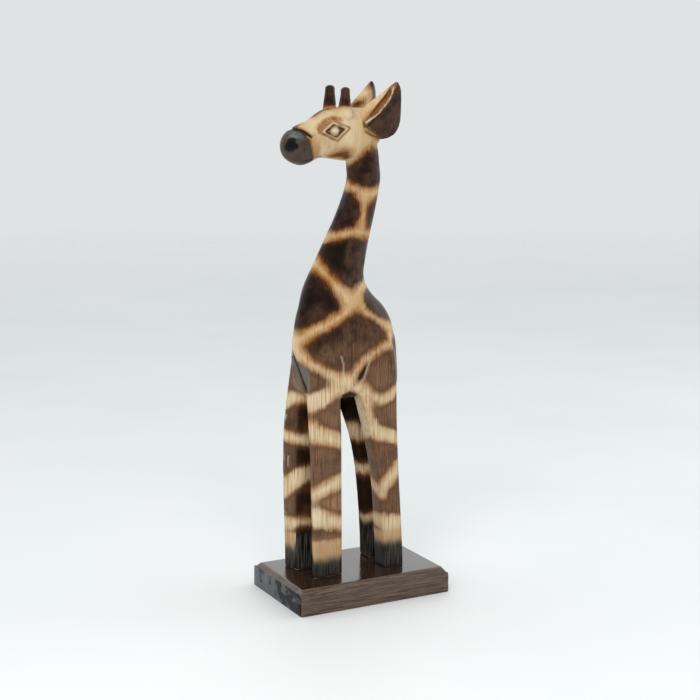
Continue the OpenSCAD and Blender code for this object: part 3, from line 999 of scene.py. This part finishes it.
# mm past the board's sides, below 0 inside
past = (np.abs(spots[:, :2]) - np.array(plinth["halfSize"])).max(1)
onRim = step(past, -12, -7) * step(spots[:, 2], 2, 6) * (1 - step(spots[:, 2], 23.2, 23.9))
ripple = np.sin(spots[:, 0] * 0.31 + 1.0) * np.sin(spots[:, 0] * 0.13 + spots[:, 1] * 0.19)
ripple = ripple + 0.5 * np.sin(spots[:, 0] * 0.83 + spots[:, 1] * 0.71)
edgeWorn = onRim * step(ripple, -0.2, 1.3)
spots -= normals * (edgeWorn * plinth["wearDepth"])[:, None]
chipped = np.zeros(len(spots))
for x, y, z, r in plinth["chips"]:
    gap = np.linalg.norm(spots - np.array([x, y, z]), axis=1)
    share = 1 - step(gap, 0, r)
    spots -= normals * (share * plinth["chipDepth"])[:, None]
    chipped = np.maximum(chipped, step(share, 0.1, 0.5))
setPlaces(board, spots * mm)
paint(board, "chipped", chipped)
makeActive(board)
bpy.ops.object.shade_smooth_by_angle(angle=math.radians(32))

boardColours = {
    "deep": shade(26, 17, 13),
    "mid": shade(70, 48, 34),
    "grey": shade(110, 88, 70),
    # painted shade with a bluish reflection, for the end faces
    "endShadeBlue": shade(26, 40, 44),
    "blot": shade(4, 6, 10),
    "bare": shade(196, 176, 150),
}


def boardFinish():
    colours = boardColours
    finish, tree, shader = newFinish("dark_varnished_board", Coat_Roughness=0.04, Coat_IOR=1.45, IOR=1.5)
    coords = objectCoords(tree)
    grain = placeGroup(tree, grainGroup, Lie=1.0, Pore_Amount=0.7)
    wear = placeGroup(tree, wearGroup, Amount=0.4)
    facing = tree.nodes.new("ShaderNodeTexCoord").outputs["Normal"]
    split = tree.nodes.new("ShaderNodeSeparateXYZ")
    tree.links.new(facing, split.inputs["Vector"])
    endFace = span(tree, sums(tree, "ABSOLUTE", split.outputs["X"], 0), 0.8, 0.95)
    topFace = span(tree, split.outputs["Z"], 0.8, 0.97)
    streak = span(tree, grain.outputs["Fibre"], 0.35, 0.65)
    sideColour = mixColour(tree, streak, colours["mid"], colours["grey"])
    topColour = mixColour(tree, streak, colours["deep"], colours["mid"])
    nearCorner = span(tree, splitHeight(tree, coords, "Y"), -0.056, 0.02, 0.22, 0)
    blots = span(tree, sums(tree, "ADD", noiseNode(tree, coords, 70, 4, 0.6), nearCorner), 0.5, 0.64)
    # the end faces carry painted shade with a bluish reflection
    endShadeColour = mixColour(tree, blots, colours["endShadeBlue"], colours["blot"])
    colour = mixColour(tree, topFace, sideColour, topColour)
    colour = mixColour(tree, endFace, colour, endShadeColour)
    colour = mixColour(tree, times(tree, grain.outputs["Pores"], 0.7), colour, colours["deep"])
    torn = span(tree, noiseNode(tree, coords, 400, 3), 0.4, 0.55)
    bare = times(tree, attributeOf(tree, "chipped"), torn)
    colour = mixColour(tree, bare, colour, colours["bare"])
    tree.links.new(colour, shader.inputs["Base Color"])
    tree.links.new(span(tree, wear.outputs["Dull"], 0, 0.4, 0.1, 0.24), shader.inputs["Roughness"])
    matt = times(tree, endFace, blots)
    coat = times(tree, span(tree, topFace, 0, 1, 0.12, 0.42), sums(tree, "SUBTRACT", 1, matt))
    tree.links.new(coat, shader.inputs["Coat Weight"])
    tree.links.new(span(tree, matt, 0, 1, 0.5, 0.08), shader.inputs["Specular IOR Level"])
    ripple = sums(tree, "ADD", grain.outputs["Fibre"], times(tree, grain.outputs["Pores"], -0.6))
    bump(tree, shader, ripple, 0.2, 0.0002)
    return finish


board.data.materials.append(boardFinish())
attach(board, "root")
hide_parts("plinth")
print("plinth finished")


# fixings: four screws up through the board, and the glue under the feet

fixings = {
    "steel": shade(168, 170, 172),
    "steelLight": shade(206, 206, 202),
    "steelDull": shade(132, 126, 116),
    "steelRough": (0.28, 0.45),
    "glue": shade(206, 188, 148),
    "glueAmber": shade(168, 138, 92),
    "glueDirty": shade(120, 98, 70),
}


def steelFinish():
    finish, tree, shader = newFinish("zinc_plated_steel", Metallic=1.0)
    coords = objectCoords(tree)
    wear = placeGroup(tree, wearGroup, Amount=0.8)
    brushed = noiseNode(tree, coords, 900, 3, 0.6, (1, 1, 0.2))
    colour = mixColour(tree, span(tree, brushed, 0.3, 0.7), fixings["steel"], fixings["steelLight"])
    colour = mixColour(tree, wear.outputs["Dull"], colour, fixings["steelDull"])
    tree.links.new(colour, shader.inputs["Base Color"])
    tree.links.new(span(tree, brushed, 0.3, 0.7, *fixings["steelRough"]), shader.inputs["Roughness"])
    bump(tree, shader, brushed, 0.2, 0.0001)
    return finish


def glueFinish():
    finish, tree, shader = newFinish("dried_wood_glue", Roughness=0.55)
    coords = objectCoords(tree)
    wear = placeGroup(tree, wearGroup, Amount=0.7)
    lumps = noiseNode(tree, coords, 500, 3, 0.6)
    colour = mixColour(tree, span(tree, lumps, 0.35, 0.65), fixings["glue"], fixings["glueAmber"])
    colour = mixColour(tree, wear.outputs["Dull"], colour, fixings["glueDirty"])
    tree.links.new(colour, shader.inputs["Base Color"])
    bump(tree, shader, lumps, 0.3, 0.0002)
    return finish


for node, finish, slotName in (
    ("foot_screws", steelFinish(), "screw_steel"),
    ("foot_glue", glueFinish(), "dried_glue"),
):
    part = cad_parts[node]
    part.data.materials.clear()
    part.data.materials.append(finish)
print("fixings finished")


# floor, light and camera

studio = {
    "floorSize": 60,                # m
    "fadeStart": 1.3,               # m from the object where the floor starts to thin out
    "fadeEnd": 5.0,
    "floorShades": (shade(236, 238, 238), shade(232, 235, 235)),
    "worldColour": (0.93, 0.96, 0.97, 1),
    "roomDirection": (-0.46, -0.88, -0.1),
    "brightSide": 1.1,
    "roomSide": 0.28,
    "seenLevel": 0.8,
    "lamps": [
        # name, place, aimed at, size, power, colour, seen in glints
        ("window_light", (-0.6, -1.1, 1.5), (0, 0, 0.25), (1.2, 1.2), 13.0, (1, 0.98, 0.95), False),
        ("room_light", (-1.35, -1.2, 0.85), (0, 0, 0.2), (0.9, 0.9), 8.5, (1, 0.99, 0.97), False),
        ("side_light", (1.6, -0.2, 0.9), (0, 0, 0.25), (1.0, 1.4), 5.0, (0.92, 0.96, 1), True),
    ],
    "lens": 74.87,                  # mm
    "cameraPlace": (-0.6494, -1.2362, 0.4787),
    "cameraTilt": 80.34,            # degrees
    "cameraTurn": -27.69,
}
deselectAll()
bpy.ops.mesh.primitive_plane_add(size=studio["floorSize"], location=(0, 0, 0))
floor = bpy.context.active_object
floor.name = "pale_floor"
floorFinish, floorTree, floorShader = newFinish("pale_floor_paint", Roughness=0.55, Specular_IOR_Level=0.3)
floorColour = mixColour(
    floorTree,
    span(floorTree, noiseNode(floorTree, objectCoords(floorTree), 3, 3), 0.3, 0.7),
    *studio["floorShades"],
)
floorTree.links.new(floorColour, floorShader.inputs["Base Color"])
# far from the object the floor thins out, so it has no edge against the background
distance = floorTree.nodes.new("ShaderNodeVectorMath")
distance.operation = "LENGTH"
floorTree.links.new(objectCoords(floorTree), distance.inputs[0])
clear = floorTree.nodes.new("ShaderNodeBsdfTransparent")
thinning = floorTree.nodes.new("ShaderNodeMixShader")
fade = span(floorTree, distance.outputs["Value"], studio["fadeStart"], studio["fadeEnd"])
floorTree.links.new(fade, thinning.inputs["Fac"])
floorTree.links.new(floorShader.outputs["BSDF"], thinning.inputs[1])
floorTree.links.new(clear.outputs["BSDF"], thinning.inputs[2])
floorTree.links.new(thinning.outputs["Shader"], floorTree.nodes["Material Output"].inputs["Surface"])
floor.data.materials.append(floorFinish)

world = bpy.data.worlds.new("soft_studio")
bpy.context.scene.world = world
world.use_nodes = True
worldTree = world.node_tree
# bright behind the object, dimmer on the room side; what the lens sees directly stays one pale grey
direction = worldTree.nodes.new("ShaderNodeTexCoord").outputs["Generated"]
towards = worldTree.nodes.new("ShaderNodeVectorMath")
towards.operation = "DOT_PRODUCT"
towards.inputs[1].default_value = Vector(studio["roomDirection"]).normalized()
worldTree.links.new(direction, towards.inputs[0])
level = span(worldTree, towards.outputs["Value"], -0.5, 0.75, studio["brightSide"], studio["roomSide"])
path = worldTree.nodes.new("ShaderNodeLightPath")
seen = worldTree.nodes.new("ShaderNodeMix")
worldTree.links.new(path.outputs["Is Camera Ray"], seen.inputs["Factor"])
worldTree.links.new(level, seen.inputs["A"])
seen.inputs["B"].default_value = studio["seenLevel"]
background = worldTree.nodes["Background"]
background.inputs["Color"].default_value = studio["worldColour"]
worldTree.links.new(seen.outputs["Result"], background.inputs["Strength"])


for name, place, aim, size, power, colour, glints in studio["lamps"]:
    lampData = bpy.data.lights.new(name, "AREA")
    lampData.shape = "RECTANGLE"
    lampData.size, lampData.size_y = size
    lampData.energy = power
    lampData.color = colour
    lamp = bpy.data.objects.new(name, lampData)
    bpy.context.scene.collection.objects.link(lamp)
    lamp.location = place
    lamp.visible_glossy = glints
    lamp.rotation_euler = (Vector(aim) - Vector(place)).to_track_quat("-Z", "Y").to_euler()

bpy.context.scene.view_settings.view_transform = "Standard"
cameraData = bpy.data.cameras.new("camera")
cameraData.lens = studio["lens"]
cameraData.sensor_width = 36
camera = bpy.data.objects.new("camera", cameraData)
bpy.context.scene.collection.objects.link(camera)
camera.location = studio["cameraPlace"]
camera.rotation_euler = (math.radians(studio["cameraTilt"]), 0, math.radians(studio["cameraTurn"]))
bpy.context.scene.camera = camera
